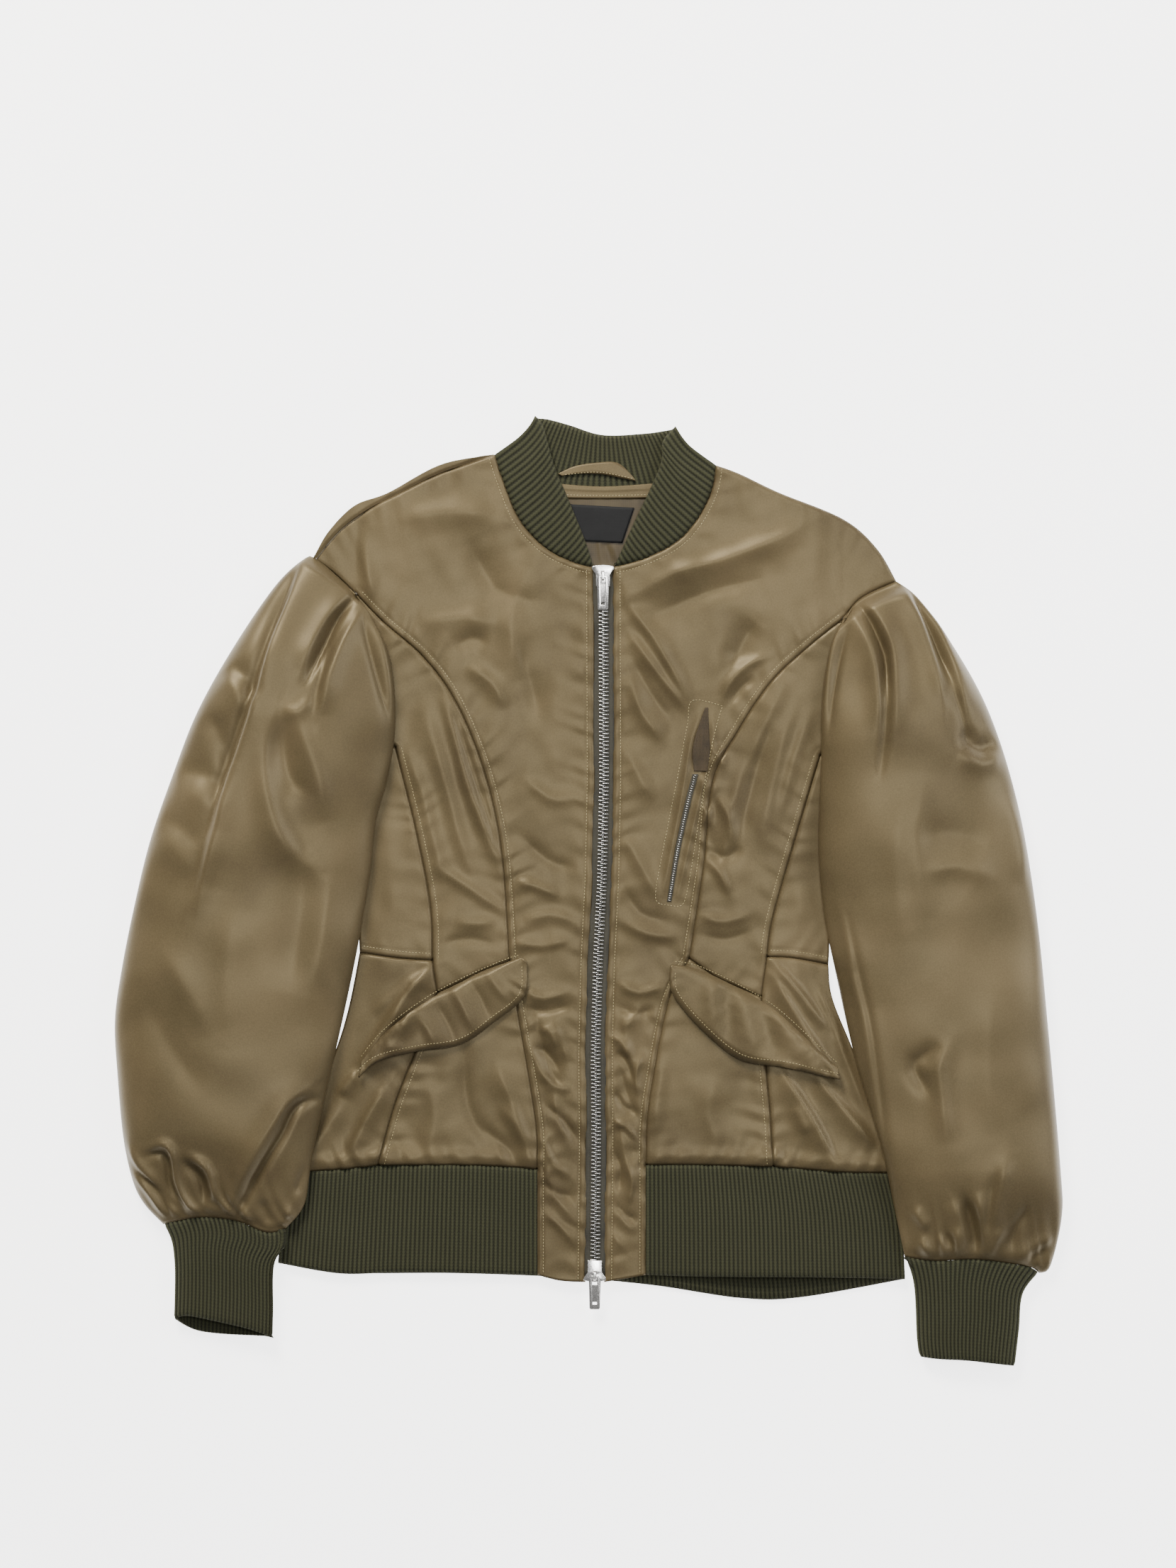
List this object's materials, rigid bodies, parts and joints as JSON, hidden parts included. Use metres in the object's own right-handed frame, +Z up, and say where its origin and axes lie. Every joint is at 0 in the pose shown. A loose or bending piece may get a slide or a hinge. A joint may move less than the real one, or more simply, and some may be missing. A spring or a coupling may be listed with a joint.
{
  "type": "bomber jacket",
  "caption": "Bomber jacket laid flat on its back: satin shell with curved seams, puffed sleeves, rib-knit collar, cuffs and hem, flap pockets and a two-way zip.",
  "frame": {"origin": "on the floor under the zip at the waist, on the flat underside of the back", "axes": "+Z up off the floor, +Y towards the collar, +X towards the wearer's left"},
  "size_m": [0.7077, 0.7102, 0.0366],
  "materials": {
    "shell_satin": "satin, soft sheen",
    "rib_knit": "matt rib knit",
    "lining": "smooth lining",
    "label_black": "plain woven tape",
    "zip_tape": "woven tape",
    "zip_metal": "bright nickel"
  },
  "bodies": {
    "jacket": {"back": "shell_satin", "back_shoulder_right": "shell_satin", "neck_facing": "shell_satin", "hanger_loop": "shell_satin", "centre_front_right": "shell_satin", "side_front_right": "shell_satin", "side_body_right": "shell_satin", "side_peplum_right": "shell_satin", "lower_front_right": "shell_satin", "pocket_flap_right": "shell_satin", "sleeve_top_right": "shell_satin", "sleeve_under_right": "shell_satin", "centre_front_left": "shell_satin", "side_front_left": "shell_satin", "side_body_left": "shell_satin", "side_peplum_left": "shell_satin", "lower_front_left": "shell_satin", "pocket_flap_left": "shell_satin", "sleeve_top_left": "shell_satin", "sleeve_under_left": "shell_satin", "hem_rib_back": "rib_knit", "collar_back": "rib_knit", "hem_rib_front_right": "rib_knit", "cuff_right": "rib_knit", "collar_right": "rib_knit", "hem_rib_front_left": "rib_knit", "cuff_left": "rib_knit", "collar_left": "rib_knit", "back_lining": "lining", "chest_pocket_facing": "lining", "neck_label": "label_black", "chest_pocket_zip": "zip_tape", "zip_tape_right": "zip_tape", "zip_tape_left": "zip_tape", "zip_slider_top": "zip_metal", "zip_slider_bottom": "zip_metal"},
    "pull_tab_top": {"pull_tab_top": "zip_metal"},
    "pull_tab_bottom": {"pull_tab_bottom": "zip_metal"}
  },
  "joints": [
    {"name": "top_tab_flip", "type": "hinge", "parent": "jacket", "child": "pull_tab_top", "pos_m": [0.00292, 0.28139, 0.01085], "axis": [-1, 0, 0], "range_deg": [0, 150]},
    {"name": "bottom_tab_flip", "type": "hinge", "parent": "jacket", "child": "pull_tab_bottom", "pos_m": [-0.00318, -0.24174, 0.01085], "axis": [-1, 0, 0], "range_deg": [0, 150]}
  ]
}
